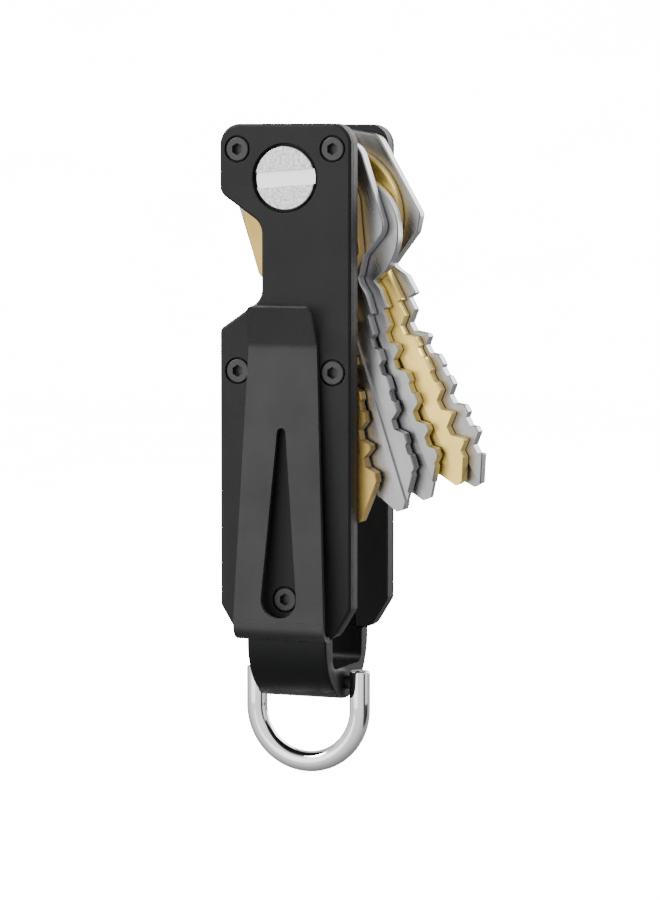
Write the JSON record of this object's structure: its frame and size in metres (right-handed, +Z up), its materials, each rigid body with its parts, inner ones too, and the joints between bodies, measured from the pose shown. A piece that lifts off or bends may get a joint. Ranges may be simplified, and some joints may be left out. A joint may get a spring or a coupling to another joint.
{
  "type": "key organiser",
  "caption": "Pocket key organiser: house keys fan out on a pivot between black screwed side plates, with a pocket clip and a swinging metal bail.",
  "frame": {"origin": "on the outer face of the front cover, on its centre line, at the height where the pocket clip touches it", "axes": "+X to the right seen from the front, the way the keys fan out; +Y from the front cover to the back cover; +Z up, towards the pivot, with the bail hanging below"},
  "size_m": [0.0353, 0.0208, 0.0938],
  "materials": {
    "black_anodised_aluminium": "fine bead-blasted, black anodised",
    "black_bracket": "smooth black anodised",
    "black_spring_steel": "satin black coated spring steel",
    "black_oxide_screw": "black oxide",
    "satin_steel": "fine blasted stainless steel",
    "polished_chrome": "bright chrome plated",
    "key_brass": "worn brass",
    "key_gold_brass": "bright brass",
    "key_nickel": "nickel-plated brass",
    "nylon": "plain nylon"
  },
  "bodies": {
    "frame": {"front_cover": "black_anodised_aluminium", "back_cover": "black_anodised_aluminium", "front_liner": "black_anodised_aluminium", "back_liner": "black_anodised_aluminium", "front_cover_screws": "black_oxide_screw", "back_cover_screws": "black_oxide_screw", "clip_screw": "black_oxide_screw", "loop_screw": "black_oxide_screw", "loop_bracket": "black_bracket", "pivot_screw": "satin_steel", "pivot_post": "satin_steel", "clip_foot": "black_spring_steel", "front_washer": "nylon", "spacer_washer_1": "nylon", "spacer_washer_2": "nylon", "spacer_washer_3": "nylon", "spacer_washer_4": "nylon", "back_washer": "nylon"},
    "clip_arm": {"clip_arm": "black_spring_steel"},
    "bail": {"bail": "polished_chrome", "bail_pin": "black_oxide_screw"},
    "key_1_brass": {"key_1_brass": "key_brass"},
    "key_2_silver": {"key_2_silver": "key_nickel"},
    "key_3_silver": {"key_3_silver": "key_nickel"},
    "key_4_gold": {"key_4_gold": "key_gold_brass"},
    "key_5_silver": {"key_5_silver": "key_nickel"}
  },
  "joints": [
    {"name": "key_1_brass_turn", "type": "hinge", "parent": "frame", "child": "key_1_brass", "pos_m": [0, 0.009, 0.02365], "axis": [0, -1, 0], "continuous": true},
    {"name": "key_2_silver_turn", "type": "hinge", "parent": "frame", "child": "key_2_silver", "pos_m": [0, 0.009, 0.02365], "axis": [0, -1, 0], "continuous": true},
    {"name": "key_3_silver_turn", "type": "hinge", "parent": "frame", "child": "key_3_silver", "pos_m": [0, 0.009, 0.02365], "axis": [0, -1, 0], "continuous": true},
    {"name": "key_4_gold_turn", "type": "hinge", "parent": "frame", "child": "key_4_gold", "pos_m": [0, 0.009, 0.02365], "axis": [0, -1, 0], "continuous": true},
    {"name": "key_5_silver_turn", "type": "hinge", "parent": "frame", "child": "key_5_silver", "pos_m": [0, 0.009, 0.02365], "axis": [0, -1, 0], "continuous": true},
    {"name": "bail_swing", "type": "hinge", "parent": "frame", "child": "bail", "pos_m": [0, 0.009, -0.04895], "axis": [1, 0, 0], "range_deg": [-92, 92]},
    {"name": "clip_flex", "type": "hinge", "parent": "frame", "child": "clip_arm", "pos_m": [0, -0.0027, -0.0392], "axis": [1, 0, 0], "range_deg": [0, 3.5], "stiffness_Nm_per_rad": 2, "springref_deg": -1.72}
  ]
}
